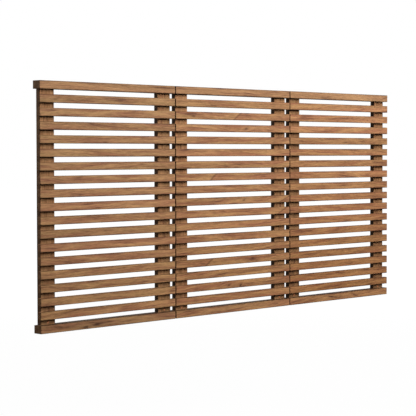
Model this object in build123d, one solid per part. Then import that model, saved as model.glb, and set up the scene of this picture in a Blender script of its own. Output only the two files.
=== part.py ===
from build123d import *

import math
import os

# A slatted wooden headboard for a king size bed: three equal panels side by side, hung on the wall.
# Each panel is a ladder frame, two posts tenoned between a top and a bottom rail, with thin slats laid
# across the front of the posts. Steel keyhole plates let into the posts hang it on screws in the wall,
# and flat plates behind the slats join the panels.
#
# Millimetres. X runs along the headboard, Y from the room to the wall, Z up. The origin is on the wall
# plane, in the middle of the back of the centre panel's bottom rail.

# Panels, from left to right as seen from the room
panel_names = ("left", "centre", "right")
panel_width = 674.0
seam = 4.0

# Rails, the deep bars that close a panel at its top and bottom
rail_height = 30.0
mortise_floor = 10.0

# Slats, counted from the top
slat_count = 17
slat_height = 30.0
slat_thickness = 17.0
slat_gap = 19.0
# Some neighbouring slats in the middle of a panel share a node: the first number of each such pair
pair_starts = (5, 7, 10, 12)

# Posts, behind the slats
post_width = 67.0
post_thickness = 20.0
post_inset = 12.0
tenon_shoulder = 10.0
tenon_cheek = 5.0

# Sharp edges of every rail and slat, and the long edges of every post, are taken off by this much
arris = 1.0

# Fits: around a tenon, beyond its end, around a plate in its recess, around a screw, around a plug
mortise_room = 0.2
glue_room = 1.0
recess_room = 0.25
screw_room = 0.1
plug_room = 0.05

# Keyhole plates, one in the back of each post, at the height of the slat with this number
hanger_slat = 2
hanger_width = 19.0
hanger_height = 50.0
hanger_thickness = 2.0
hanger_screw_inset = 6.5
entry_diameter = 10.0
slot_width = 5.0
slot_rise = 11.0
head_pocket_side_room = 1.0
head_pocket_depth = 7.0

# Joining plates, across each seam behind the first and the last slat
joiner_thickness = 2.0
joiner_lap = 36.0
joiner_hidden_edge = 5.0
joiner_corner = 3.0
joiner_wall_room = 1.0
joiner_hole_shares = (0.25, 0.7)

# Countersunk wood screws of both kinds of plate, measured across their flats. There are many of them,
# so a screw and its hole have flats where the real ones are round.
screw_sides = 8
screw_head_width = 6.5
screw_neck_width = 3.0
screw_cover = 5.0
countersink_angle = 45.0

# Fixing holes through the posts in the lowest gap, each closed by a round plug at the front
fixing_diameter = 5.0
fixing_bore_floor = 12.0
plug_diameter = 10.0
plug_thickness = 4.5
plug_proud = 0.6

# How far a cut runs past the face that it starts from
overrun = 1.0

# Worked out from the sizes above
rail_proud = joiner_thickness + joiner_wall_room
rail_depth = slat_thickness + post_thickness + rail_proud
panel_pitch = panel_width + seam
slat_pitch = slat_height + slat_gap
post_length = slat_count * slat_pitch + slat_gap
top_rail_z = rail_height + post_length
post_offset = (panel_width - post_width) / 2 - post_inset
mortise_depth = rail_height - mortise_floor
tenon_width = post_width - 2 * tenon_shoulder
tenon_thickness = post_thickness - 2 * tenon_cheek
tenon_length = mortise_depth - glue_room
post_gap = seam + 2 * post_inset
joiner_length = post_gap + 2 * joiner_lap
joiner_height = slat_height - 2 * joiner_hidden_edge
fixing_z = (rail_height + slat_gap) / 2
screw_head_height = (screw_head_width - screw_neck_width) / 2 / math.tan(math.radians(countersink_angle))
hanger_screw_length = post_thickness - screw_cover
joiner_screw_length = hanger_screw_length + joiner_thickness

# Depths of the faces that the pieces share
post_back_y = -rail_proud
post_front_y = post_back_y - post_thickness
front_y = post_front_y - slat_thickness


def panel_x(index):
    """Middle of a panel along the headboard."""
    return (index - (len(panel_names) - 1) / 2) * panel_pitch


def slat_z(number):
    """Mid-height of a slat, numbered from 1 at the top."""
    highest = top_rail_z - (rail_height + slat_height) / 2 - slat_gap
    return highest - (number - 1) * slat_pitch


def bar(size_x, size_y, size_z):
    """A planed bar centred on the origin, with the arris taken off all its edges, ends included."""
    return chamfer(Box(size_x, size_y, size_z).edges(), arris)


def cut_from_back(outline, depth):
    """The space that an outline takes out of a back face on Y = 0, down to a depth."""
    return extrude(Plane.XZ.offset(-overrun) * outline, depth + overrun)


# Wooden pieces


def rail(mortise_side):
    """A rail centred on the origin, with its two mortises in the face on the given side, up or down."""
    body = bar(panel_width, rail_depth, rail_height)
    mortise = Box(
        tenon_width + 2 * mortise_room,
        tenon_thickness + 2 * mortise_room,
        mortise_depth + overrun,
    )
    middle_y = (post_front_y + post_back_y + rail_depth) / 2
    middle_z = mortise_side * (rail_height - mortise_depth + overrun) / 2
    for side in (-1, 1):
        body -= Pos(side * post_offset, middle_y, middle_z) * mortise
    return body


def slat():
    """A slat centred on the origin."""
    return bar(panel_width, slat_thickness, slat_height)


def keyhole():
    """The opening of a keyhole plate: a round entry for the screw head, and a narrow slot above it."""
    entry = Pos(0, -slot_rise / 2) * Circle(entry_diameter / 2)
    return entry + SlotCenterToCenter(slot_rise, slot_width, rotation=90)


def hanger_recess():
    """What a keyhole plate takes out of a post: its own bed, and under it the pocket for the screw head."""
    bed = SlotOverall(hanger_height + 2 * recess_room, hanger_width + 2 * recess_room, rotation=90)
    pocket = SlotCenterToCenter(slot_rise, entry_diameter + 2 * head_pocket_side_room, rotation=90)
    deepest = hanger_thickness + head_pocket_depth
    return cut_from_back(bed, hanger_thickness) + cut_from_back(pocket, deepest)


def fixing_bore():
    """A clearance hole right through a post from its back, and the wider bore of the plug at the front."""
    hole = cut_from_back(Circle(fixing_diameter / 2), post_thickness)
    bore_depth = post_thickness - fixing_bore_floor
    bore = extrude(Plane.XZ.offset(fixing_bore_floor) * Circle(plug_diameter / 2), bore_depth + overrun)
    return hole + bore


def joiner_screw_places(seam_side):
    """Along X and Z from a post's own frame, where the joining plates on its seam side are screwed."""
    edge = seam_side * post_width / 2
    return [
        (edge - seam_side * share * joiner_lap, slat_z(number) - rail_height / 2)
        for share in joiner_hole_shares
        for number in (1, slat_count)
    ]


def hanger_screw_places():
    """Along Z from a keyhole plate's own middle, where its two screws are."""
    reach = hanger_height / 2 - hanger_screw_inset
    return (-reach, reach)


def post(seam_side):
    """A post with its back on Y = 0 and its lower shoulder on Z = 0.

    seam_side is -1 or 1 where the next panel is on its left or right, and 0 where there is none.
    """
    upright = Box(post_width, post_thickness, post_length)
    upright = chamfer(upright.edges().filter_by(Axis.Z), arris)
    body = Pos(0, -post_thickness / 2, post_length / 2) * upright
    tenon = Box(tenon_width, tenon_thickness, tenon_length)
    for middle_z in (-tenon_length / 2, post_length + tenon_length / 2):
        body += Pos(0, -post_thickness / 2, middle_z) * tenon
    hanger_middle_z = slat_z(hanger_slat) - rail_height / 2
    body -= Pos(0, 0, hanger_middle_z) * hanger_recess()
    for screw_z in hanger_screw_places():
        body -= Pos(0, 0, hanger_middle_z + screw_z) * screw_hole(hanger_screw_length)
    body -= Pos(0, 0, fixing_z - rail_height / 2) * fixing_bore()
    if seam_side:
        for screw_x, screw_z in joiner_screw_places(seam_side):
            body -= Pos(screw_x, joiner_thickness, screw_z) * screw_hole(joiner_screw_length)
    return body


def plug():
    """A round plug whose back lies in the plane Y = 0."""
    return extrude(Plane.XZ * Circle(plug_diameter / 2 - plug_room), plug_thickness + plug_proud)


# Steel pieces


def countersunk(length, room):
    """A countersunk shank into a back face on Y = 0, grown all round by the given room."""
    head = RegularPolygon(screw_head_width / 2 + room, screw_sides, major_radius=False)
    neck = RegularPolygon(screw_neck_width / 2 + room, screw_sides, major_radius=False)
    rim = (Plane.XZ * head).vertices()
    throat = (Plane.XZ.offset(screw_head_height) * neck).vertices()
    return ConvexPolyhedron(rim + throat) + extrude(Plane.XZ * neck, length + room)


def screw(length):
    """A countersunk screw, the top of its head on Y = 0."""
    return countersunk(length, 0)


def screw_hole(length):
    """The hole of such a screw, through a plate and into the post."""
    return countersunk(length, screw_room)


def hanger_plate():
    """A keyhole plate, its outer face on Y = 0 and its middle on the origin."""
    outline = SlotOverall(hanger_height, hanger_width, rotation=90) - keyhole()
    body = extrude(Plane.XZ * outline, hanger_thickness)
    for screw_z in hanger_screw_places():
        body -= Pos(0, 0, screw_z) * screw_hole(hanger_screw_length)
    return body


def joiner():
    """A joining plate, its outer face on Y = 0 and its middle on the origin, with cut corners."""
    sheet = chamfer(Rectangle(joiner_length, joiner_height).vertices(), joiner_corner)
    body = extrude(Plane.XZ * sheet, joiner_thickness)
    for screw_x in joiner_screw_offsets():
        body -= Pos(screw_x, 0, 0) * screw_hole(joiner_screw_length)
    return body


def joiner_screw_offsets():
    """Along X from a joining plate's own middle, where its screws are."""
    reaches = [post_gap / 2 + share * joiner_lap for share in joiner_hole_shares]
    return [side * reach for side in (-1, 1) for reach in reaches]


# Where the pieces go


def seam_side_of(index, side):
    """The side on which a panel's post faces the next panel, or 0 at the ends of the headboard."""
    return side if 0 <= index + side < len(panel_names) else 0


def slat_groups():
    """The numbers of the slats that each slat node holds."""
    number = 1
    while number <= slat_count:
        paired = number in pair_starts and number < slat_count
        group = (number, number + 1) if paired else (number,)
        yield group
        number += len(group)


def write(name, pieces):
    """One sub-part to its own file, alone or as a group of separate solids."""
    shape = pieces[0] if len(pieces) == 1 else Compound(children=pieces)
    shape.label = name
    export_step(shape, f"parts/{name}.step")


os.makedirs("parts", exist_ok=True)

sides = {"left": -1, "right": 1}
rail_y = -rail_depth / 2
slat_y = front_y + slat_thickness / 2
plug_back_y = post_front_y + plug_thickness
hanger_z = slat_z(hanger_slat)
joiner_y = post_back_y + joiner_thickness

plugs, hanger_screws, joiner_screws = [], [], []

for index, panel in enumerate(panel_names):
    middle_x = panel_x(index)
    write(f"{panel}_panel_bottom_rail", [Pos(middle_x, rail_y, 0) * rail(1)])
    write(f"{panel}_panel_top_rail", [Pos(middle_x, rail_y, top_rail_z) * rail(-1)])

    for group in slat_groups():
        kind = "slat" if len(group) == 1 else "slats"
        numbers = "_".join(f"{number:02d}" for number in group)
        slats = [Pos(middle_x, slat_y, slat_z(number)) * slat() for number in group]
        write(f"{panel}_panel_{kind}_{numbers}", slats)

    hangers = []
    for side_name, side in sides.items():
        post_x = middle_x + side * post_offset
        placed_post = Pos(post_x, post_back_y, rail_height / 2) * post(seam_side_of(index, side))
        write(f"{panel}_panel_{side_name}_post", [placed_post])
        plugs.append(Pos(post_x, plug_back_y, fixing_z) * plug())
        hangers.append(Pos(post_x, post_back_y, hanger_z) * hanger_plate())
        for screw_z in hanger_screw_places():
            place = Pos(post_x, post_back_y, hanger_z + screw_z)
            hanger_screws.append(place * screw(hanger_screw_length))
    write(f"{panel}_panel_hanger_plates", hangers)

for index, (panel, next_panel) in enumerate(zip(panel_names, panel_names[1:])):
    seam_x = (panel_x(index) + panel_x(index + 1)) / 2
    joiners = []
    for number in (1, slat_count):
        joiners.append(Pos(seam_x, joiner_y, slat_z(number)) * joiner())
        for screw_x in joiner_screw_offsets():
            place = Pos(seam_x + screw_x, joiner_y, slat_z(number))
            joiner_screws.append(place * screw(joiner_screw_length))
    write(f"{panel}_to_{next_panel}_joining_plates", joiners)

write("hanger_plate_screws", hanger_screws)
write("joining_plate_screws", joiner_screws)
write("fixing_hole_plugs", plugs)
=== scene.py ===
"""Looks of a wall-hung slatted headboard: oiled wood, plated fittings, screws, plugs, light and camera.

Everything is in metres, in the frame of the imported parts: X along the headboard, Y into the wall, Z up.
"""

from __future__ import annotations

import logging
import math
from collections.abc import Iterable, Sequence
from dataclasses import dataclass, replace
from enum import Enum
from typing import Any

import bmesh
import bpy
from mathutils import Color, Matrix, Vector

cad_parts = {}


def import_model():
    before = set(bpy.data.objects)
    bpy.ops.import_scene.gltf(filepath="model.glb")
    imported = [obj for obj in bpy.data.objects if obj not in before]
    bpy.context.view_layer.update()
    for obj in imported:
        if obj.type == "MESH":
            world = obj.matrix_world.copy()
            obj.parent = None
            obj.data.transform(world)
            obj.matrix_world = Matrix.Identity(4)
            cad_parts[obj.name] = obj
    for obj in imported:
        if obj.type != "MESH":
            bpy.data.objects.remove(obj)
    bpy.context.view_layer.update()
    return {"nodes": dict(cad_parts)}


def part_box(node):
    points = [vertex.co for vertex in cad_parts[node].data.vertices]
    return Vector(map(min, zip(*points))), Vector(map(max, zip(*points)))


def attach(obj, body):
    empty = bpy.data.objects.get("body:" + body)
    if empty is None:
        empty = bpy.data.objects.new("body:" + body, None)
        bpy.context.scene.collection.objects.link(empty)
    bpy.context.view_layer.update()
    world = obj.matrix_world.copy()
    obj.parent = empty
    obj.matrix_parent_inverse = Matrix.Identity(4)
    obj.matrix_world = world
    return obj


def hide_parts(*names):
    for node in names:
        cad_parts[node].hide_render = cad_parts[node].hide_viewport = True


LOG = logging.getLogger("headboard")
MM = 0.001
BODY = "root"

Colour = tuple[float, float, float, float]
Point = tuple[float, float, float]
Vertex = bmesh.types.BMVert

# Left and right, or down and up.
WAYS = (-1, 1)
# The middle of noise and of random numbers, which run from 0 to 1.
MIDDLE = 0.5
NO_TINT: Point = (0.0, 0.0, 0.0)


def paint(red: int, green: int, blue: int) -> Colour:
    """Turns a colour as a screen shows it, from 0 to 255, into the linear values that shaders take."""
    linear = Color((red / 255, green / 255, blue / 255)).from_srgb_to_scene_linear()
    return linear.r, linear.g, linear.b, 1.0


@dataclass(frozen=True)
class Value:
    """One socket of a node tree. Arithmetic on it adds Math nodes, so it reads as an expression."""

    tree: Tree
    socket: bpy.types.NodeSocket

    def math(self, operation: str, *others: Value | float) -> Value:
        """Adds a Math node whose first operand is this value."""
        return self.tree.node("ShaderNodeMath", dict(enumerate((self, *others))), operation=operation)[0]

    def __add__(self, other: Value | float) -> Value:
        """This value plus the other."""
        return self.math("ADD", other)

    def __sub__(self, other: Value | float) -> Value:
        """This value less the other."""
        return self.math("SUBTRACT", other)

    def __rsub__(self, other: float) -> Value:
        """The other less this value."""
        return self * -1 + other

    def __mul__(self, other: Value | float) -> Value:
        """This value times the other."""
        return self.math("MULTIPLY", other)

    def __truediv__(self, other: Value | float) -> Value:
        """This value divided by the other."""
        return self.math("DIVIDE", other)

    def __abs__(self) -> Value:
        """This value without its sign."""
        return self.math("ABSOLUTE")

    __radd__ = __add__
    __rmul__ = __mul__

    def rise(self, low: float, high: float) -> Value:
        """A smooth step from 0 at low to 1 at high, or down from 1 where low is the higher."""
        limits = {"Value": self, "From Min": low, "From Max": high}
        return self.tree.node("ShaderNodeMapRange", limits, interpolation_type="SMOOTHSTEP")["Result"]

    def steps(self, pitch: float) -> tuple[Value, Value]:
        """The number of the nearest step of a pitch, and how far past that step this value is."""
        step = (self / pitch).math("ROUND")
        return step, self - step * pitch

    def distance(self, other: Value) -> Value:
        """How far a point is away that lies this value aside and the other up."""
        return (self * self + other * other).math("SQRT")


@dataclass(frozen=True)
class Outputs:
    """The outputs of a node, each by its name, its identifier or its number."""

    tree: Tree
    node: bpy.types.Node

    def __getitem__(self, key: int | str) -> Value:
        """One output as a value."""
        return Value(self.tree, Tree.socket(self.node.outputs, key))


class Tree:
    """Builds a node tree, of a material, of the world or of Geometry Nodes."""

    def __init__(self, tree: bpy.types.NodeTree) -> None:
        """Empties a tree, to fill it anew."""
        self.tree = tree
        tree.nodes.clear()

    @classmethod
    def of_material(cls, name: str) -> tuple[bpy.types.Material, Tree]:
        """Makes a material, and its tree to fill."""
        material = bpy.data.materials.new(name)
        material.use_nodes = True
        return material, cls(material.node_tree)

    @staticmethod
    def socket(sockets: Sequence[bpy.types.NodeSocket], key: int | str) -> bpy.types.NodeSocket:
        """Finds a socket.

        Args:
            sockets: The inputs or the outputs of a node.
            key: The socket's number, or its identifier, or else its name.

        Returns:
            The socket.
        """
        if isinstance(key, int):
            return sockets[key]
        by_identifier = [found for found in sockets if found.identifier == key]
        return by_identifier[0] if by_identifier else sockets[key]

    def node(self, kind: str, inputs: dict[int | str, Any] | None = None, **settings: Any) -> Outputs:
        """Adds a node of any type.

        Args:
            kind: The node's type.
            inputs: The numbers, colours or links of its sockets.
            settings: Its settings, which are set first.

        Returns:
            The node's outputs.
        """
        made = self.tree.nodes.new(kind)
        for name, setting in settings.items():
            setattr(made, name, setting)
        for key, given in (inputs or {}).items():
            socket = self.socket(made.inputs, key)
            if isinstance(given, Value):
                self.tree.links.new(given.socket, socket)
            else:
                socket.default_value = given
        return Outputs(self, made)

    def vector(self, x: Value | float, y: Value | float, z: Value | float) -> Value:
        """Three numbers as one vector."""
        return self.node("ShaderNodeCombineXYZ", {0: x, 1: y, 2: z})[0]

    def scaled(self, vector: Value, scales: Value | Point) -> Value:
        """A vector with each part multiplied by its own number."""
        return self.node("ShaderNodeVectorMath", {0: vector, 1: scales}, operation="MULTIPLY")[0]

    def mix(self, share: Value | float, first: Value | Colour, second: Value | Colour) -> Value:
        """The first colour, with a share of the second in it."""
        inputs = {"Factor_Float": share, "A_Color": first, "B_Color": second}
        return self.node("ShaderNodeMix", inputs, data_type="RGBA")["Result_Color"]

    def brightened(self, colour: Value, factor: Value) -> Value:
        """A colour times a number."""
        return self.node("ShaderNodeVectorMath", {0: colour, "Scale": factor}, operation="SCALE")[0]

    def cover(self, look: dict[int | str, Any], relief: Value, strength: float, depth: float) -> None:
        """Ends a material's tree with its surface.

        Args:
            look: The inputs of the surface's shader.
            relief: The height of its fine relief.
            strength: How clearly the relief shows.
            depth: How deep a relief of 1 is.
        """
        inputs = {"Strength": strength, "Distance": depth, "Height": relief}
        bump = self.node("ShaderNodeBump", inputs)[0]
        shader = self.node("ShaderNodeBsdfPrincipled", {**look, "Normal": bump})[0]
        self.node("ShaderNodeOutputMaterial", {"Surface": shader})


@dataclass(frozen=True)
class Lattice:
    """Where the bars of the headboard lie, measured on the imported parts."""

    panel_pitch: float
    bar_pitch: float
    bar_height: float
    top_row: int
    post_back: float
    post_reach: float
    post_width: float

    @classmethod
    def from_frame(cls) -> Lattice:
        """Measures the lattice on the boxes of a few parts.

        Returns:
            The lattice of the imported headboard.
        """
        low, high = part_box("centre_panel_bottom_rail")
        next_low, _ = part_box("right_panel_bottom_rail")
        slat_low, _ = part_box("centre_panel_slat_17")
        above_low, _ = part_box("centre_panel_slat_16")
        top_low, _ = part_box("centre_panel_top_rail")
        post_low, post_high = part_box("centre_panel_right_post")
        bar_pitch = above_low.z - slat_low.z
        return cls(
            panel_pitch=next_low.x - low.x,
            bar_pitch=bar_pitch,
            bar_height=high.z - low.z,
            top_row=round((top_low.z - low.z) / bar_pitch),
            post_back=post_high.y,
            post_reach=(post_low.x + post_high.x) / 2,
            post_width=post_high.x - post_low.x,
        )

    def row_z(self, row: int) -> float:
        """The mid-height of a bar: row 0 is the bottom rail, and the top rail is the last."""
        return row * self.bar_pitch

    def panel_x(self, panel: int) -> float:
        """The middle of a panel: -1, 0 and 1 from left to right."""
        return panel * self.panel_pitch


class Grain(Enum):
    """The way that the grain of a piece runs."""

    LEVEL = "X"
    UPRIGHT = "Z"
    INWARD = "Y"


@dataclass(frozen=True)
class Layer:
    """One layer of noise in the wood, given by the length and thickness of its marks."""

    length: float
    thickness: float
    detail: float = 2.0
    roughness: float = 0.5

    def sample(self, place: Value) -> Value:
        """Samples the layer.

        Args:
            place: How far along, across and into the grain.

        Returns:
            A number about 0.5.
        """
        stretched = place.tree.scaled(place, (1 / self.length, 1 / self.thickness, 1 / self.thickness))
        inputs = {"Vector": stretched, "Scale": 1.0, "Detail": self.detail, "Roughness": self.roughness}
        return place.tree.node("ShaderNodeTexNoise", inputs)[0]


@dataclass(frozen=True)
class CrossLine:
    """A dark line of figure that crosses one bar aslant, where the tone of the wood shifts."""

    panel: int
    row: int
    along: float
    lean: float
    bow: float = 0.0
    warm_side: int = 1

    # How far from a line it fades out, and how far the tones beside it do.
    line_fade = (11 * MM, 1.5 * MM)
    line_share = 0.48
    tone_fade = (110 * MM, 20 * MM)
    tone_share = 0.70
    tone_step = 2 * MM


@dataclass(frozen=True)
class Knot:
    """A small dark knot in one bar, with the grain parting round it."""

    panel: int
    row: int
    along: float
    across: float = 0.0
    length: float = 9 * MM
    height: float = 4 * MM
    lean: float = 0.0
    depth: float = 0.75

    # In sizes of the knot, where its core, the stain round it and the parting of the grain fade out.
    core_fade = (1.1, 0.3)
    stain_fade = (2.6, 0.7)
    stain_share = 0.7
    parting_fade = (3.2, 0.6)
    parting_share = 0.8


@dataclass(frozen=True)
class WoodPoint:
    """A point of a bar as the wood's shader sees it, in the tree that shades it."""

    tree: Tree
    x: Value
    z: Value
    panel: Value
    along: Value
    across: Value
    deep: Value
    luck: Sequence[Value]


@dataclass(frozen=True)
class WoodFinish:
    """Oiled brown hardwood, figured all through, so that end grain follows from the same rings.

    The fields are what differs from finish to finish. What stands below them is common to all.
    """

    name: str
    lattice: Lattice
    grain: Grain
    seed: float
    pale: Colour = paint(191, 144, 98)
    warm: Colour = paint(168, 115, 83)
    deep: Colour = paint(114, 77, 61)
    end_shade: float = 0.42
    # Painted shade on the sides: near black in the gaps between posts, lighter at the two ends.
    side_shade: float = 1.0
    painted_outer_side_shade: float = 1.0
    # Painted shade on faces that look up.
    painted_upper_shade: float = 1.0
    # Painted shade along one arris: the lower one of a bar, the left one of a post.
    painted_lower_edge_shade: float = 0.36
    # Painted shadow on the posts just under the bars.
    painted_corner_shadow: float = 1.0
    batch_tint: Point = (0.0, -0.046, -0.076)
    # Painted light: the colour grows lighter and paler with height.
    painted_height_light: Point = NO_TINT
    board_shade: float = 1.0
    ring_pitch: float = 4.6 * MM
    patches: Layer = Layer(0.18, 0.013)
    streaks: Layer = Layer(0.11, 6.0 * MM, 3.0, 0.6)
    marks: tuple[CrossLine | Knot, ...] = ()

    # The darkest colour, and the other layers of noise.
    dark = paint(78, 53, 40)
    drift = Layer(0.34, 0.10, 1.0)
    fibres = Layer(0.032, 2.6 * MM, 3.0, 0.7)
    pores = Layer(0.010, 0.6 * MM, 1.0)

    # The log: how far apart in it the bars are cut, how its grain runs, and where its pith lies.
    draws = (0.0, 0.37)
    log_length, log_width = 9, 3
    wave_height = 34 * MM
    lean_spread = 0.10
    pith_depth = 35 * MM
    pith_depth_spread, pith_aside_spread = 50 * MM, 60 * MM
    bands_per_ring, band_shift = 0.40, 40

    # From where to where a noise, a ring's phase, a tone or a face's direction comes to count.
    streak_rise = (0.50, 0.72)
    streaky_patch_rise = (0.36, 0.60)
    pore_rise = (0.60, 0.72)
    tone_rise = (0.30, 0.72)
    late_wood_rise = (0.30, 0.92)
    late_wood_fall = (1.0, 0.94)
    facing_rise = (0.75, 0.95)
    to_room_rise = (-0.50, -0.95)

    # How light the bands of painted shade are, at the left and the right seam and at the upper edge
    # of a bar, and from where to where they fade: metres from a seam, below a bar, or inside a bar's edge.
    seam_shades, edge_shade = (0.35, 0.55), 0.50
    seam_fall = (3.2 * MM, 2.4 * MM)
    seam_sides_rise = (-1 * MM, 1 * MM)
    corner_band = (4.2 * MM, 2.4 * MM)
    upper_edge_band = (3.0 * MM, 0.5 * MM)
    lower_edge_band = (4.0 * MM, 0.6 * MM)

    # How much each layer counts in the tone, the colour, the light, the gloss and the relief.
    patch_tone, band_tone, board_tone = 0.95, 0.34, 0.05
    late_share, streak_share, pore_share = 0.22, 0.85, 0.35
    mean_light, board_spread = 1.08, 0.14
    fibre_light, band_light, patch_light = 1.75, 0.60, 0.25
    sheen_roughness, specular_level = 0.68, 0.04
    patch_roughness, pore_roughness, streak_roughness = 0.14, 0.12, 0.06
    fibre_relief, late_relief, pore_relief = 0.5, 0.25, 0.8
    relief_strength, relief_depth = 0.4, 0.3 * MM

    def material(self) -> bpy.types.Material:
        """Builds the finish.

        Returns:
            The material.
        """
        material, tree = Tree.of_material(self.name)
        point = self._point(tree)
        bent = self._bent_across(point)
        solid = self._log_place(point, bent + point.luck[3] * self.log_width)

        rings = self._rings(point, bent)
        late = self._late_wood(rings)
        band = self._bands(point, rings) - MIDDLE
        patches = self.patches.sample(solid)
        patch = patches - MIDDLE
        streak = self.streaks.sample(solid).rise(*self.streak_rise)
        streak = streak * patches.rise(*self.streaky_patch_rise)
        fibres = self.fibres.sample(solid)
        pore = self.pores.sample(solid).rise(*self.pore_rise)
        board = point.luck[1] - MIDDLE

        tone = MIDDLE + patch * self.patch_tone + band * self.band_tone + board * self.board_tone
        colour = tree.mix(tone.rise(*self.tone_rise), self.pale, self.warm)
        colour = self._marked(point, colour)
        colour = tree.mix(late * self.late_share + streak * self.streak_share, colour, self.deep)
        colour = tree.mix(pore * self.pore_share, colour, self.dark)
        light = self.mean_light + board * self.board_spread + (fibres - MIDDLE) * self.fibre_light
        light = light + band * self.band_light - patch * self.patch_light
        # The face factor and the edge factor paint shade into the colour here.
        light = light * self._face_factor(point) * self.board_shade
        colour = tree.brightened(colour, light * self._painted_edge_factor(point, patch))
        colour = self._tinted_with_painted_light(point, colour)

        roughness = self.sheen_roughness + patch * self.patch_roughness
        roughness = roughness + pore * self.pore_roughness + streak * self.streak_roughness
        relief = fibres * self.fibre_relief + late * self.late_relief - pore * self.pore_relief
        look = {"Base Color": colour, "Roughness": roughness, "Specular IOR Level": self.specular_level}
        tree.cover(look, relief, self.relief_strength, self.relief_depth)
        return material

    def _point(self, tree: Tree) -> WoodPoint:
        """Finds a point's bar and its place in the bar, and draws the bar's six random numbers.

        Args:
            tree: The material's tree.

        Returns:
            The point that is shaded.
        """
        place = tree.node("ShaderNodeTexCoord")["Object"]
        parts = tree.node("ShaderNodeSeparateXYZ", {0: place})
        x, y, z = parts[0], parts[1], parts[2]
        panel, from_middle = x.steps(self.lattice.panel_pitch)
        if self.grain is Grain.LEVEL:
            row, across = z.steps(self.lattice.bar_pitch)
            along, deep = from_middle, y
        else:
            row, across = from_middle.steps(self.lattice.post_reach)
            along, deep = (z, y) if self.grain is Grain.UPRIGHT else (y, z)
        luck: list[Value] = []
        for draw in self.draws:
            inputs = {"Vector": tree.vector(panel, row, self.seed + draw)}
            noise = tree.node("ShaderNodeTexWhiteNoise", inputs)["Color"]
            split = tree.node("ShaderNodeSeparateColor", {0: noise})
            luck += [split[0], split[1], split[2]]
        return WoodPoint(tree, x, z, panel, along, across, deep, luck)

    def _bent_across(self, point: WoodPoint) -> Value:
        """Bends the grain in slow waves, leans it a little in each bar, and parts it round the knots.

        Args:
            point: The point that is shaded.

        Returns:
            Where the point lies across the straight grain.
        """
        place = self._log_place(point, point.across)
        wave = (self.drift.sample(place) - MIDDLE) * self.wave_height
        lean = (point.luck[2] - MIDDLE) * self.lean_spread
        bent = point.across + wave + lean * point.along
        for mark in self.marks:
            if isinstance(mark, Knot):
                parting = self._knot_distance(point, mark).rise(*mark.parting_fade)
                bent = bent - (point.z - self._mark_z(mark)) * parting * mark.parting_share
        return bent

    def _log_place(self, point: WoodPoint, across: Value) -> Value:
        """The point in a log's own frame, with each bar cut from another place of it."""
        along = point.along + point.luck[0] * self.log_length
        return point.tree.vector(along, across, point.deep + point.luck[1] * self.log_width)

    def _rings(self, point: WoodPoint, bent: Value) -> Value:
        """Counts the year rings out from a pith that lies outside most bars."""
        aside = bent - (point.luck[4] - MIDDLE) * self.pith_aside_spread
        inward = point.deep + point.luck[5] * self.pith_depth_spread + self.pith_depth
        return aside.distance(inward) / self.ring_pitch

    def _bands(self, point: WoodPoint, rings: Value) -> Value:
        """Groups of lighter and darker rings, which differ from board to board."""
        place = point.tree.vector(rings * self.bands_per_ring, point.luck[3] * self.band_shift, 0.0)
        inputs = {"Vector": place, "Scale": 1.0, "Detail": 1.0}
        return point.tree.node("ShaderNodeTexNoise", inputs, noise_dimensions="2D")[0]

    def _late_wood(self, rings: Value) -> Value:
        """The dark side of each ring, which ends sharply at the next ring."""
        phase = rings.math("FRACT")
        return phase.rise(*self.late_wood_rise) * phase.rise(*self.late_wood_fall)

    def _tinted_with_painted_light(self, point: WoodPoint, colour: Value) -> Value:
        """Shifts a colour from panel to panel, as batches differ, and paints light that grows with height,
        lighter and paler towards the top rail.

        Args:
            point: The point that is shaded.
            colour: Its colour so far.

        Returns:
            The shifted colour.
        """
        if not any((*self.batch_tint, *self.painted_height_light)):
            return colour
        # The height runs from -1 on the bottom rail to 1 on the top rail.
        up = point.z / self.lattice.row_z(self.lattice.top_row) * 2 - 1
        changes = zip(self.batch_tint, self.painted_height_light)
        tint = point.tree.vector(*(point.panel * batch + up * height + 1 for batch, height in changes))
        return point.tree.scaled(colour, tint)

    def _face_factor(self, point: WoodPoint) -> Value:
        """Darkens end grain, and paints shade on faces that look sideways or up, beside the seams, and in
        the corners under the bars.

        Args:
            point: The point that is shaded.

        Returns:
            The factor of the point's light.
        """
        normal = point.tree.node("ShaderNodeTexCoord")["Normal"]
        facing = point.tree.node("ShaderNodeSeparateXYZ", {0: normal})
        factor = self._painted_seam_factor(point)
        if self.painted_corner_shadow != 1.0:
            factor = factor * self._painted_corner_shadow_factor(point, facing["Y"])
        # Painted shade on faces that look sideways or up; end grain is darker in itself.
        for turned, shade in (
            (abs(facing[self.grain.value]), self.end_shade),
            (abs(facing["X"]), self._side_shade(point)),
            (facing["Z"], self.painted_upper_shade),
        ):
            if shade != 1.0:
                factor = factor * (1 - turned.rise(*self.facing_rise) * (1 - shade))
        return factor

    def _painted_seam_factor(self, point: WoodPoint) -> Value:
        """Paints shade on the bars beside the two seams, where little light comes in, less at the right
        seam.

        Args:
            point: The point that is shaded.

        Returns:
            The factor of the point's light.
        """
        left_shade, right_shade = self.seam_shades
        shade = point.x.rise(*self.seam_sides_rise) * (right_shade - left_shade) + left_shade
        from_seam = abs(abs(point.x) - self.lattice.panel_pitch / 2)
        return 1 - from_seam.rise(*self.seam_fall) * (1 - shade)

    def _painted_corner_shadow_factor(self, point: WoodPoint, facing_y: Value) -> Value:
        """Paints shadow on the fronts of the posts just under the bars.

        Args:
            point: The point that is shaded.
            facing_y: How far its face looks into the wall.

        Returns:
            The factor of the point's light.
        """
        half = self.lattice.bar_height / 2
        _, above_bar = point.z.steps(self.lattice.bar_pitch)
        corner = above_bar.rise(*(-half - gap for gap in self.corner_band))
        corner = corner * above_bar.rise(half, 0.0)
        return 1 - corner * facing_y.rise(*self.to_room_rise) * (1 - self.painted_corner_shadow)

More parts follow.
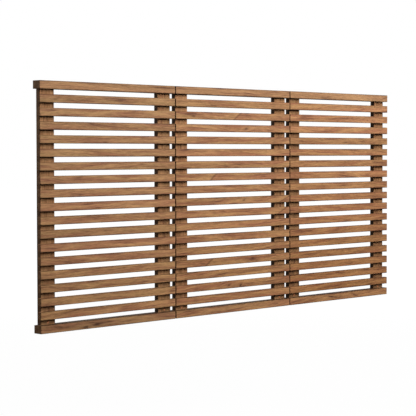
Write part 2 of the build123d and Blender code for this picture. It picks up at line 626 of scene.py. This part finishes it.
    def _side_shade(self, point: WoodPoint) -> Value | float:
        """Tells how light the painted shade on the sides is, where little light reaches them.

        Args:
            point: The point that is shaded.

        Returns:
            One number in the gaps, and another at the ends of the headboard.
        """
        if self.painted_outer_side_shade == self.side_shade:
            return self.side_shade
        last_post = self.lattice.panel_pitch + self.lattice.post_reach
        outer = abs(point.x).rise(last_post, last_post + self.lattice.post_width / 4)
        return outer * (self.painted_outer_side_shade - self.side_shade) + self.side_shade

    def _painted_edge_factor(self, point: WoodPoint, patch: Value) -> Value:
        """Darkens the arrises along a bar; the deeper darkening of the lower arris is painted shade.

        Args:
            point: The point that is shaded.
            patch: The noise of the patches there, about 0.

        Returns:
            The factor of the point's light.
        """
        half = (self.lattice.bar_height if self.grain is Grain.LEVEL else self.lattice.post_width) / 2
        upper = point.across.rise(*(half - inside for inside in self.upper_edge_band))
        lower = (point.across * -1).rise(*(half - inside for inside in self.lower_edge_band))
        darker = upper * (1 - self.edge_shade) + lower * (1 - self.painted_lower_edge_shade)
        return 1 - darker * (patch + 1)

    def _mark_x(self, mark: CrossLine | Knot) -> float:
        """Where a mark lies along the headboard."""
        return self.lattice.panel_x(mark.panel) + mark.along

    def _mark_z(self, mark: CrossLine | Knot) -> float:
        """How high a mark lies."""
        return self.lattice.row_z(mark.row) + (mark.across if isinstance(mark, Knot) else 0.0)

    def _knot_distance(self, point: WoodPoint, knot: Knot) -> Value:
        """How far a point is from a knot, in sizes of the knot."""
        up = point.z - self._mark_z(knot)
        aside = (point.x - self._mark_x(knot) - up * knot.lean) / knot.length
        return aside.distance(up / knot.height)

    def _marked(self, point: WoodPoint, colour: Value) -> Value:
        """Lays the bar's own knots and crossing lines over its colour.

        Args:
            point: The point that is shaded.
            colour: Its colour so far.

        Returns:
            The colour with the marks in it.
        """
        for mark in self.marks:
            if isinstance(mark, Knot):
                away = self._knot_distance(point, mark)
                stain = away.rise(*mark.stain_fade) * mark.depth * mark.stain_share
                colour = point.tree.mix(stain, colour, self.deep)
                core = away.rise(*mark.core_fade) * mark.depth
                colour = point.tree.mix(core, colour, self.dark)
            else:
                colour = self._crossed(point, colour, mark)
        return colour

    def _crossed(self, point: WoodPoint, colour: Value, line: CrossLine) -> Value:
        """Lays one crossing line over a colour, with the warmer tone on one side of it.

        Args:
            point: The point that is shaded.
            colour: Its colour so far.
            line: The crossing line.

        Returns:
            The colour with the line in it.
        """
        above = point.z - self._mark_z(line)
        past = point.x - self._mark_x(line) - above * line.lean - above * above * line.bow
        near = abs(above).rise(self.lattice.bar_pitch / 2, self.lattice.bar_height / 2)
        fading = abs(past).rise(*line.tone_fade) * near
        step = line.warm_side * line.tone_step
        warmer = past.rise(-step, step)
        colour = point.tree.mix(fading * warmer * line.tone_share, colour, self.warm)
        colour = point.tree.mix(fading * (1 - warmer) * line.tone_share, colour, self.pale)
        dark = abs(past).rise(*line.line_fade) * near * line.line_share
        return point.tree.mix(dark, colour, self.dark)


@dataclass(frozen=True)
class SteelFinish:
    """Zinc-plated steel: light grey with a faint spangle, and fine rubbing marks along one way."""

    name: str
    light: Colour = paint(182, 184, 183)
    spangle: float = 5 * MM

    shade = paint(138, 141, 145)
    rub = Layer(0.03, 0.3 * MM)
    roughness = 0.44
    flake_share, rub_share = 0.35, 0.40
    flake_roughness, rub_roughness = 0.10, 0.18
    relief_strength, relief_depth = 0.25, 0.1 * MM

    def material(self) -> bpy.types.Material:
        """Builds the finish.

        Returns:
            The material.
        """
        material, tree = Tree.of_material(self.name)
        place = tree.node("ShaderNodeTexCoord")["Object"]
        grains = tree.node("ShaderNodeTexVoronoi", {"Vector": place, "Scale": 1 / self.spangle})
        flake = tree.node("ShaderNodeSeparateColor", {0: grains["Color"]})[0]
        rubbed = self.rub.sample(place)
        colour = tree.mix(flake * self.flake_share + rubbed * self.rub_share, self.light, self.shade)
        roughness = self.roughness + (flake - MIDDLE) * self.flake_roughness
        roughness = roughness + (rubbed - MIDDLE) * self.rub_roughness
        look = {"Base Color": colour, "Metallic": 1.0, "Roughness": roughness}
        tree.cover(look, rubbed, self.relief_strength, self.relief_depth)
        return material


def dress(obj: bpy.types.Object, material: bpy.types.Material) -> None:
    """Gives all of a piece one material, through its own material slots.

    Args:
        obj: The piece.
        material: The material.
    """
    if not obj.material_slots:
        obj.data.materials.append(material)
    for slot in obj.material_slots:
        slot.material = material


def link(name: str, data: bpy.types.ID) -> bpy.types.Object:
    """Puts a mesh, a lamp or a camera into the scene as an object of the given name."""
    obj = bpy.data.objects.new(name, data)
    bpy.context.scene.collection.objects.link(obj)
    return obj


class Woodwork:
    """The rails, slats and posts of the three panels, which keep the shapes of their parts."""

    # The panel, the row and the place along the bar of each mark that the photo shows clearly.
    figure: tuple[CrossLine | Knot, ...] = (
        CrossLine(0, 16, 0.012, 1.55, bow=14.0),
        CrossLine(0, 11, -0.128, 1.30, bow=10.0),
        CrossLine(0, 4, -0.152, 1.50, bow=12.0, warm_side=-1),
        CrossLine(0, 9, 0.305, 2.6),
        CrossLine(0, 8, 0.290, 2.2),
        Knot(0, 15, 0.065, -1 * MM, lean=0.8),
        Knot(0, 16, -0.239, -2 * MM, height=3 * MM, depth=0.6),
        Knot(0, 9, 0.054, 1 * MM, length=8 * MM, height=5 * MM, lean=0.7, depth=0.6),
        Knot(0, 8, -0.066, 7 * MM, length=14 * MM, height=2.5 * MM, depth=0.4),
        Knot(0, 4, 0.105, 3 * MM, length=12 * MM, depth=0.6),
        Knot(0, 2, -0.037, -1 * MM, length=11 * MM, depth=0.45),
        Knot(0, 2, 0.031, -7 * MM, length=5 * MM, height=6 * MM, lean=0.6, depth=0.7),
        Knot(-1, 0, -0.069, -1 * MM, length=22 * MM, height=5 * MM, lean=1.0, depth=0.9),
        Knot(-1, 0, -0.126, -7 * MM, length=16 * MM),
        Knot(-1, 0, -0.100, 7 * MM, length=24 * MM, height=2.5 * MM, lean=1.6, depth=0.65),
        Knot(-1, 0, -0.020, 3 * MM, length=34 * MM, height=2.5 * MM, lean=1.2, depth=0.60),
        Knot(-1, 0, -0.215, 1 * MM, length=40 * MM, height=2.5 * MM, depth=0.50),
        Knot(-1, 0, 0.090, -2 * MM, length=36 * MM, height=2.5 * MM, lean=1.0, depth=0.50),
        Knot(1, 0, -0.062, 2 * MM, length=15 * MM, height=4.5 * MM, lean=-4.5, depth=0.85),
        Knot(1, 0, 0.096, 1 * MM, length=8 * MM, height=7 * MM, lean=-2.4, depth=0.60),
    )

    # Painted light and shade: how light each panel's slats are, and how their red, green and blue grow with
    # height.
    slat_painted_light = {
        "left": (1.0, (0.0, 0.03, 0.07)),
        "centre": (0.98, (0.0, 0.03, 0.07)),
        "right": (0.95, (0.150, 0.190, 0.250)),
    }
    # Painted shade sets how light each panel's posts are; below, how light some boards are beside the
    # others.
    post_painted_shades = {"left": 1.05, "centre": 1.0, "right": 0.83}
    darker_boards = {
        "left_panel_bottom_rail": 0.86,
        "right_panel_bottom_rail": 0.91,
        "centre_panel_top_rail": 0.91,
    }

    def __init__(self, lattice: Lattice, nodes: dict[str, bpy.types.Object]) -> None:
        """Prepares the finishes.

        Args:
            lattice: Where the bars lie.
            nodes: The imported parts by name.
        """
        self.lattice = lattice
        self.nodes = nodes
        slat = WoodFinish("slat_wood", lattice, Grain.LEVEL, seed=3.1)
        self.slats = {
            panel: replace(slat, name=f"{panel}_slat_wood", board_shade=shade, painted_height_light=tint)
            for panel, (shade, tint) in self.slat_painted_light.items()
        }
        rail = WoodFinish("rail_wood", lattice, Grain.LEVEL, seed=8.4, ring_pitch=5.2 * MM)
        # The bottom rail's top face is darkened with painted shade.
        self.bottom_rail = replace(rail, name="bottom_rail_wood", painted_upper_shade=0.30)
        self.top_rail = replace(
            rail,
            name="top_rail_wood",
            pale=paint(190, 146, 104),
            warm=paint(178, 132, 96),
            batch_tint=NO_TINT,
        )
        post = WoodFinish(
            "post_wood",
            lattice,
            Grain.UPRIGHT,
            seed=5.7,
            pale=paint(178, 135, 94),
            warm=paint(165, 119, 82),
            # Painted shade along the left arris of a post.
            painted_lower_edge_shade=0.58,
            batch_tint=NO_TINT,
            # Painted light that grows with height.
            painted_height_light=(0.11, 0.11, 0.11),
            # Painted shade on the sides of the posts: near black in the gaps, lighter at the two ends.
            side_shade=0.12,
            painted_outer_side_shade=0.42,
            # Painted shadow under the bars.
            painted_corner_shadow=0.03,
            ring_pitch=5.0 * MM,
        )
        self.posts = {
            panel: replace(post, name=f"{panel}_post_wood", board_shade=shade)
            for panel, shade in self.post_painted_shades.items()
        }

    def marks_on(self, node: str) -> tuple[CrossLine | Knot, ...]:
        """Finds the figure of one part.

        Args:
            node: The part's name.

        Returns:
            The marks that lie in the part's box.
        """
        low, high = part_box(node)
        return tuple(
            mark
            for mark in self.figure
            if low.x < self.lattice.panel_x(mark.panel) + mark.along < high.x
            and low.z < self.lattice.row_z(mark.row) < high.z
        )

    def build(self) -> None:
        """Dresses each rail, slat and post."""
        finishes = (*self.slats.values(), *self.posts.values(), self.top_rail, self.bottom_rail)
        plain = {finish.name: finish.material() for finish in finishes}
        for name in sorted(self.nodes):
            panel = name.split("_")[0]
            if "_slat" in name:
                finish = self.slats[panel]
            elif name.endswith("_bottom_rail"):
                finish = self.bottom_rail
            elif name.endswith("_top_rail"):
                finish = self.top_rail
            elif name.endswith("_post"):
                finish = self.posts[panel]
            else:
                continue
            marks = () if name.endswith("_post") else self.marks_on(name)
            if marks or name in self.darker_boards:
                shade = finish.board_shade * self.darker_boards.get(name, 1.0)
                own = replace(finish, name=f"{finish.name}_of_{name}", marks=marks, board_shade=shade)
                dress(self.nodes[name], own.material())
            else:
                dress(self.nodes[name], plain[finish.name])
            LOG.info("%s: %s, %d marks", name, finish.name, len(marks))


def around(loop: Sequence[Vertex]) -> list[tuple[Vertex, Vertex]]:
    """The pairs of neighbours in a closed loop of vertices."""
    return list(zip(loop, [*loop[1:], loop[0]]))


def turned(bm: bmesh.types.BMesh, outline: Iterable[tuple[float, float]], sides: int) -> list[list[Vertex]]:
    """Turns an outline about the Y axis.

    Args:
        bm: The mesh that it goes into.
        outline: The radius and the Y of each ring.
        sides: How many vertices a ring has.

    Returns:
        The rings of vertices, which are joined with bands of faces.
    """
    angles = [2 * math.pi * step / sides for step in range(sides)]
    rings = [
        [bm.verts.new((radius * math.cos(a), y, radius * math.sin(a))) for a in angles]
        for radius, y in outline
    ]
    for first, second in zip(rings, rings[1:]):
        for (a, b), (c, d) in zip(around(first), around(second)):
            bm.faces.new((a, b, d, c))
    return rings


def close_to_point(bm: bmesh.types.BMesh, loop: Sequence[Vertex], y: float) -> None:
    """Closes a loop of vertices with faces that meet in a point of the Y axis."""
    point = bm.verts.new((0.0, y, 0.0))
    for a, b in around(loop):
        bm.faces.new((a, b, point))


def finished_mesh(bm: bmesh.types.BMesh, name: str) -> bpy.types.Mesh:
    """Turns a closed bmesh into a mesh whose faces point outwards.

    Args:
        bm: The bmesh, which is freed.
        name: The name of the mesh.

    Returns:
        The mesh.
    """
    bmesh.ops.recalc_face_normals(bm, faces=bm.faces)
    mesh = bpy.data.meshes.new(name)
    bm.to_mesh(mesh)
    bm.free()
    return mesh


class Head(Enum):
    """The two kinds of screw head."""

    SUNK = "countersunk"
    PAN = "pan"


@dataclass(frozen=True)
class Screw:
    """A wood screw with a cross recess, driven towards the room, its head or its seat on Y = 0."""

    head: Head
    head_radius: float
    head_height: float
    shank_radius: float
    length: float
    sides: int = 12

    tip_radius, taper_share = 0.4 * MM, 3.0
    dome_radius_share, rim_height_share = 0.80, 0.3
    recess_reach_share, recess_width_share, recess_depth_share = 0.62, 0.16, 0.85

    def rings(self) -> list[tuple[float, float]]:
        """Gives the outline of the screw.

        Returns:
            The radius and the Y of each ring, from the face of the head to the tip.
        """
        taper = self.taper_share * self.shank_radius
        if self.head is Head.SUNK:
            upper = [
                (self.head_radius, 0.0),
                (self.shank_radius, -self.head_height),
                (self.shank_radius, taper - self.length),
            ]
        else:
            upper = [
                (self.dome_radius_share * self.head_radius, self.head_height),
                (self.head_radius, self.rim_height_share * self.head_height),
                (self.shank_radius, 0.0),
            ]
        return [*upper, (self.tip_radius, -self.length)]

    def mesh(self) -> bpy.types.Mesh:
        """Builds the screw: rings of faces, a tip, and a cross recess that narrows to a point.

        Returns:
            The mesh of the screw.
        """
        bm = bmesh.new()
        loops = turned(bm, self.rings(), self.sides)
        bm.faces.new(loops[-1])
        face_radius, face_y = self.rings()[0]
        mouth = self._cross(bm, face_radius, face_y)
        close_to_point(bm, mouth, face_y - self.recess_depth_share * self.head_height)
        rim = [bm.edges.get(pair) for loop in (loops[0], mouth) for pair in around(loop)]
        bmesh.ops.triangle_fill(bm, use_beauty=True, use_dissolve=False, edges=rim)
        return finished_mesh(bm, f"{self.head.value}_screw")

    def _cross(self, bm: bmesh.types.BMesh, face_radius: float, y: float) -> list[Vertex]:
        """Lays out the cross recess on the face of the head.

        Args:
            bm: The mesh that it goes into.
            face_radius: The radius of the face.
            y: The Y of the face.

        Returns:
            Its twelve corners.
        """
        long, short = face_radius * self.recess_reach_share, face_radius * self.recess_width_share
        corners = []
        for quarter in range(4):
            turn = Matrix.Rotation(quarter * math.pi / 2, 2)
            corners += [turn @ Vector(c) for c in ((long, -short), (long, short), (short, short))]
        return [bm.verts.new((c.x, y, c.y)) for c in corners]


@dataclass(frozen=True)
class Plug:
    """A turned wooden plug, its back on Y = 0 and its eased, slightly crowned face towards the room."""

    radius: float
    thickness: float

    sides = 32
    ease, crown = 0.5 * MM, 0.25 * MM
    crown_radius_share, crown_fall_share = 0.55, 0.3

    def mesh(self) -> bpy.types.Mesh:
        """Builds the plug as a turned solid.

        Returns:
            The mesh of the plug.
        """
        half_ease = self.ease * (1 - math.sqrt(0.5))
        outline = [
            (self.radius, 0.0),
            (self.radius, self.thickness - self.crown - self.ease),
            (self.radius - half_ease, self.thickness - self.crown - half_ease),
            (self.radius - self.ease, self.thickness - self.crown),
            (self.radius * self.crown_radius_share, self.thickness - self.crown * self.crown_fall_share),
        ]
        bm = bmesh.new()
        loops = turned(bm, [(radius, -proud) for radius, proud in outline], self.sides)
        bm.faces.new(loops[0])
        close_to_point(bm, loops[-1], -self.thickness)
        return finished_mesh(bm, "plug")


class Fasteners:
    """Geometry Nodes that set one fastener at each point, turned at random, and join them to one mesh."""

    def __init__(self, materials: dict[str, bpy.types.Material]) -> None:
        """Builds the node tree once, for all kinds of fastener.

        Args:
            materials: The material of each slot.
        """
        self.materials = materials
        self.group = bpy.data.node_groups.new("fasteners_at_points", "GeometryNodeTree")
        tree = Tree(self.group)
        face = self.group.interface
        face.new_socket("Geometry", in_out="OUTPUT", socket_type="NodeSocketGeometry")
        for name, kind in (
            ("Points", "NodeSocketGeometry"),
            ("Fastener", "NodeSocketObject"),
            ("Finish", "NodeSocketMaterial"),
            ("Seed", "NodeSocketInt"),
        ):
            face.new_socket(name, in_out="INPUT", socket_type=kind)
        given = tree.node("NodeGroupInput")
        shape = tree.node("GeometryNodeObjectInfo", {"Object": given["Fastener"]})["Geometry"]
        inputs = {"Min": (0.0, -math.pi, 0.0), "Max": (0.0, math.pi, 0.0), "Seed": given["Seed"]}
        angles = tree.node("FunctionNodeRandomValue", inputs, data_type="FLOAT_VECTOR")["Value"]
        inputs = {"Points": given["Points"], "Instance": shape, "Rotation": angles}
        placed = tree.node("GeometryNodeInstanceOnPoints", inputs)["Instances"]
        solid = tree.node("GeometryNodeRealizeInstances", {"Geometry": placed})["Geometry"]
        inputs = {"Geometry": solid, "Material": given["Finish"]}
        done = tree.node("GeometryNodeSetMaterial", inputs)["Geometry"]
        tree.node("NodeGroupOutput", {"Geometry": done})

    def build(
        self,
        name: str,
        fastener: Screw | Plug,
        places: Iterable[Point],
        slot: str,
        seed: int,
        *stands_for: str,
    ) -> None:
        """Sets fasteners at their places, as one piece that rides on the headboard's body.

        Args:
            name: The name of the finished piece.
            fastener: The kind of fastener.
            places: Where each goes.
            slot: The slot of their material.
            seed: The seed of the random turns.
            stands_for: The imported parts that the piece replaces.
        """
        points = bpy.data.meshes.new(f"{name}_points")
        points.from_pydata(list(places), [], [])
        host = link(f"{name}_host", points)
        model = link(f"{name}_model", fastener.mesh())
        modifier = host.modifiers.new("fasteners", "NODES")
        modifier.node_group = self.group
        wanted = {"Fastener": model, "Finish": self.materials[slot], "Seed": seed}
        for item in self.group.interface.items_tree:
            if item.name in wanted:
                modifier[item.identifier] = wanted[item.name]
        bpy.context.view_layer.update()
        depsgraph = bpy.context.evaluated_depsgraph_get()
        mesh = bpy.data.meshes.new_from_object(host.evaluated_get(depsgraph), depsgraph=depsgraph)
        bpy.data.objects.remove(host)
        bpy.data.objects.remove(model)
        piece = link(name, mesh)
        dress(piece, self.materials[slot])
        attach(piece, BODY)
        if stands_for:
            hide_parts(*stands_for)
        LOG.info("%s: %d fasteners, %d faces", name, len(points.vertices), len(mesh.polygons))


class Fittings:
    """The keyhole plates and joining plates, and every screw and plug of the headboard."""

    hanger_row = 16
    hanger_screw_reach = 18.5 * MM
    joiner_screw_reaches = (23 * MM, 39.2 * MM)
    slat_screw_aside = 20 * MM

    def __init__(self, lattice: Lattice, nodes: dict[str, bpy.types.Object]) -> None:
        """Prepares the finishes and the fasteners.

        Args:
            lattice: Where the bars lie.
            nodes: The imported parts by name.
        """
        self.lattice = lattice
        self.nodes = nodes
        plate_steel = SteelFinish("plate_steel")
        screw_steel = SteelFinish("screw_steel", light=paint(196, 192, 180), spangle=3 * MM)
        plug_wood = WoodFinish(
            "plug_wood",
            lattice,
            Grain.INWARD,
            seed=2.2,
            pale=paint(230, 154, 108),
            warm=paint(218, 136, 92),
            deep=paint(180, 102, 68),
            end_shade=1.0,
            ring_pitch=1.4 * MM,
            patches=Layer(0.02, 6 * MM),
            streaks=Layer(0.02, 0.8 * MM),
        )
        finishes = (plate_steel, screw_steel, plug_wood)
        self.materials = {finish.name: finish.material() for finish in finishes}
        self.fasteners = Fasteners(self.materials)

    def build(self) -> None:
        """Dresses the plates and builds the screws and plugs."""
        for name, obj in sorted(self.nodes.items()):
            if name.endswith("_plates"):
                dress(obj, self.materials["plate_steel"])
                LOG.info("%s: plate_steel", name)
        self._plate_screws()
        self._slat_screws()
        self._plugs()

    def post_xs(self) -> list[tuple[float, int]]:
        """Finds the posts.

        Returns:
            The middle of each post, and on which side of it the next panel lies, or 0.
        """
        found = []
        for panel in (-1, 0, 1):
            for side in WAYS:
                seam_side = side if abs(panel + side) <= 1 else 0
                found.append((self.lattice.panel_x(panel) + side * self.lattice.post_reach, seam_side))
        return found

    def seam_xs(self) -> list[float]:
        """The middle of each seam between two panels."""
        return [-self.lattice.panel_pitch / 2, self.lattice.panel_pitch / 2]

    def joined_rows(self) -> tuple[int, int]:
        """The rows of the two slats that the joining plates lie behind."""
        return 1, self.lattice.top_row - 1

    def _plate_screws(self) -> None:
        """Screws of both kinds of plate, each sunk flush with its plate."""
        sunk = Screw(
            Head.SUNK,
            head_radius=3.3 * MM,
            head_height=1.8 * MM,
            shank_radius=1.5 * MM,
            length=15 * MM,
        )
        _, plate_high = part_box("centre_panel_hanger_plates")
        hanger_z = self.lattice.row_z(self.hanger_row)
        places = [
            (x, plate_high.y, hanger_z + way * self.hanger_screw_reach)
            for x, _ in self.post_xs()
            for way in WAYS
        ]
        self.fasteners.build(
            "hanger_screws_with_recess", sunk, places, "screw_steel", 11, "hanger_plate_screws"
        )
        longer = replace(sunk, length=17 * MM)
        _, joiner_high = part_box("left_to_centre_joining_plates")
        places = [
            (x + way * reach, joiner_high.y, self.lattice.row_z(row))
            for x in self.seam_xs()
            for row in self.joined_rows()
            for way in WAYS
            for reach in self.joiner_screw_reaches
        ]
        self.fasteners.build(
            "joining_screws_with_recess", longer, places, "screw_steel", 12, "joining_plate_screws"
        )

    def _slat_screws(self) -> None:
        """Pan-head screws through the posts, two for each slat, or one where a joining plate lies."""
        pan = Screw(
            Head.PAN,
            head_radius=3.8 * MM,
            head_height=2.2 * MM,
            shank_radius=1.8 * MM,
            length=31 * MM,
            sides=10,
        )
        places = [
            (x + way * self.slat_screw_aside, self.lattice.post_back, self.lattice.row_z(row))
            for x, seam_side in self.post_xs()
            for row in range(1, self.lattice.top_row)
            for way in WAYS
            if row not in self.joined_rows() or way != seam_side
        ]
        self.fasteners.build("slat_screws", pan, places, "screw_steel", 13)

    def _plugs(self) -> None:
        """A turned plug in each fixing hole."""
        low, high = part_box("fixing_hole_plugs")
        plug = Plug((high.z - low.z) / 2, thickness=high.y - low.y)
        places = [(x, high.y, (low.z + high.z) / 2) for x, _ in self.post_xs()]
        self.fasteners.build("turned_plugs", plug, places, "plug_wood", 14, "fixing_hole_plugs")


@dataclass(frozen=True)
class PhotoCamera:
    """The photographer's camera, as fitted to the edges of the headboard."""

    place: Point = (-4.2528, -4.0625, 0.6390)
    right_turn: float = math.radians(45.505)
    dip: float = math.radians(2.2347)
    roll: float = math.radians(0.083)
    focal_pixels: float = 1432.9
    image_pixels: float = 416.0
    sensor: float = 36.0

    def build(self) -> None:
        """Makes the camera and hands it to the scene."""
        data = bpy.data.cameras.new("photo_camera")
        data.sensor_width = self.sensor
        data.lens = self.focal_pixels / self.image_pixels * self.sensor
        camera = link("photo_camera", data)
        matrix = Matrix.Translation(self.place)
        for turn, axis in ((-self.right_turn, "Z"), (math.pi / 2 - self.dip, "X"), (-self.roll, "Z")):
            matrix = matrix @ Matrix.Rotation(turn, 4, axis)
        camera.matrix_world = matrix
        bpy.context.scene.camera = camera


@dataclass(frozen=True)
class SoftBox:
    """A large soft lamp that gives a set level of light on a face that looks the lamp's way."""

    name: str
    place: Point
    aim: Point
    width: float
    height: float
    level: float

    def build(self) -> None:
        """Makes the lamp, with the power that its level takes at its distance."""
        data = bpy.data.lights.new(self.name, "AREA")
        data.shape = "RECTANGLE"
        data.size, data.size_y = self.width, self.height
        towards = Vector(self.aim) - Vector(self.place)
        data.energy = math.pi**2 * self.level * towards.length_squared
        lamp = link(self.name, data)
        lamp.visible_camera = False
        turn = towards.to_track_quat("-Z", "Y").to_matrix().to_4x4()
        lamp.matrix_world = Matrix.Translation(self.place) @ turn


class Studio:
    """A plain pale studio: a floor below the hung headboard, soft lamps, and white all round."""

    floor_z = -0.50
    floor_reach = 30.0
    floor_colour = paint(128, 128, 126)
    floor_white = 1.035
    fill = 0.01
    white = 1.0
    shadow_share = 0.05
    shadow_reach = (2.5, 8.0)

    lamps = (
        SoftBox("key_softbox", (0.9, -3.4, 2.5), (0.2, 0.0, 0.5), 1.7, 2.4, 1.0),
        SoftBox("back_softbox", (-2.2, 4.2, 2.4), (0.0, 0.0, 0.45), 3.6, 2.4, 0.80),
        SoftBox("right_softbox", (4.4, 0.4, 1.5), (1.0, 0.0, 0.45), 1.6, 2.0, 0.50),
    )

    def build(self) -> None:
        """Sets the view transform, the world, the floor and the lamps."""
        bpy.context.scene.view_settings.view_transform = "Standard"
        self._world()
        self._floor()
        for lamp in self.lamps:
            lamp.build()

    @staticmethod
    def _seen(tree: Tree) -> Value:
        """1 for what the camera sees, itself or in a gloss or through glass, and 0 for other light."""
        path = tree.node("ShaderNodeLightPath")
        seen = path["Is Camera Ray"].math("MAXIMUM", path["Is Glossy Ray"])
        return seen.math("MAXIMUM", path["Is Transmission Ray"])

    def _world(self) -> None:
        """White to look at, and a low even light on everything else."""
        world = bpy.data.worlds.new("studio")
        world.use_nodes = True
        bpy.context.scene.world = world
        tree = Tree(world.node_tree)
        colour = (1.0, 1.0, 1.0, 1.0)
        light = tree.node("ShaderNodeBackground", {"Color": colour, "Strength": self.fill})[0]
        white = tree.node("ShaderNodeBackground", {"Color": colour, "Strength": self.white})[0]
        both = tree.node("ShaderNodeMixShader", {0: self._seen(tree), 1: light, 2: white})[0]
        tree.node("ShaderNodeOutputWorld", {"Surface": both})

    def _floor(self) -> None:
        """A wide pale floor that keeps a faint shadow."""
        reach = self.floor_reach
        corners = [(-reach, -reach), (reach, -reach), (reach, reach), (-reach, reach)]
        mesh = bpy.data.meshes.new("floor")
        mesh.from_pydata([(x, y, self.floor_z) for x, y in corners], [], [(0, 1, 2, 3)])
        material, tree = Tree.of_material("floor")
        pale = tree.node("ShaderNodeBsdfDiffuse", {"Color": self.floor_colour})[0]
        white = tree.node("ShaderNodeEmission", {"Strength": self.floor_white})[0]
        place = tree.node("ShaderNodeTexCoord")["Object"]
        away = tree.node("ShaderNodeVectorMath", {0: place}, operation="LENGTH")["Value"]
        share = 1 - away.rise(self.shadow_reach[1], self.shadow_reach[0]) * self.shadow_share
        both = tree.node("ShaderNodeMixShader", {0: self._seen(tree) * share, 1: pale, 2: white})[0]
        tree.node("ShaderNodeOutputMaterial", {"Surface": both})
        floor = link("floor", mesh)
        dress(floor, material)


def main() -> None:
    """Builds the dressed headboard in its studio."""
    logging.basicConfig(level=logging.INFO, format="%(name)s: %(message)s")
    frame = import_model()
    lattice = Lattice.from_frame()
    PhotoCamera().build()
    Studio().build()
    Woodwork(lattice, frame["nodes"]).build()
    Fittings(lattice, frame["nodes"]).build()


if __name__ == "__main__":
    main()
